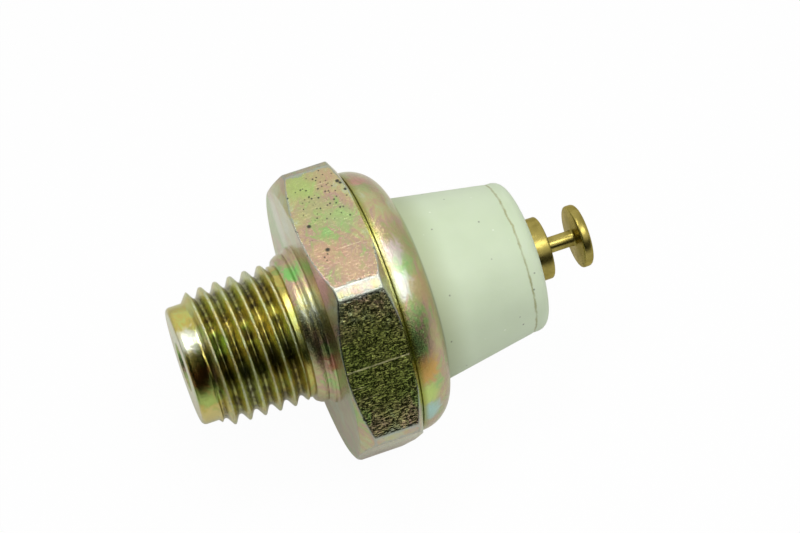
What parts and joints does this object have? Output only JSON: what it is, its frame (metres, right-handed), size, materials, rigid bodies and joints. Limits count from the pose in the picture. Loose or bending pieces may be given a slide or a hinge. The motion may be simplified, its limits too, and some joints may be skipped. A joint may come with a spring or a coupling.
{
  "type": "oil pressure sender",
  "caption": "Screw-in diaphragm pressure switch: hexagon body with a tapered thread in plated steel, collar rolled over a nylon insulator, brass button terminal.",
  "frame": {"origin": "where the thread's axis meets the plane of the fine groove in the flare, 1 mm in front of the hexagon", "axes": "+X along the thread's axis from the stub to the terminal, +Z square to the hexagon flat that the part lies on, pointing up from it"},
  "size_m": [0.0411, 0.0304, 0.027],
  "materials": {
    "plated_steel": "turned and milled steel, zinc plated with a yellow chromate film",
    "seal_rubber": "black nitrile rubber, moulded",
    "diaphragm_film": "thin rubberised fabric, smooth",
    "sheet_steel": "bright pressed sheet steel",
    "plunger_plastic": "moulded thermoset, dull",
    "contact_silver": "solid silver rivets, coined faces",
    "brass_sheet": "pressed sheet brass",
    "spring_steel": "drawn spring wire, oiled",
    "gasket_paper": "compressed fibre sheet",
    "natural_nylon": "injection moulded natural nylon, milky, satin",
    "turned_brass": "turned free-cutting brass, slightly dulled"
  },
  "bodies": {
    "housing": {"hex_body": "plated_steel", "seal_ring": "seal_rubber", "diaphragm": "diaphragm_film", "contact_cup": "sheet_steel", "fixed_contacts": "contact_silver", "contact_spring": "spring_steel", "spring_seat": "brass_sheet", "cover_gasket": "gasket_paper", "insulator": "natural_nylon", "terminal_stud": "turned_brass"},
    "contact_carrier": {"diaphragm_plate": "sheet_steel", "plunger": "plunger_plastic", "contact_disc": "brass_sheet", "moving_contacts": "contact_silver"}
  },
  "joints": [
    {"name": "contact_lift", "type": "slide", "parent": "housing", "child": "contact_carrier", "axis": [1, 0, 0], "range_m": [0, 0.0006], "stiffness_N_per_m": 2000, "springref_m": -0.0025, "deforming": ["contact_spring", "diaphragm"]}
  ]
}
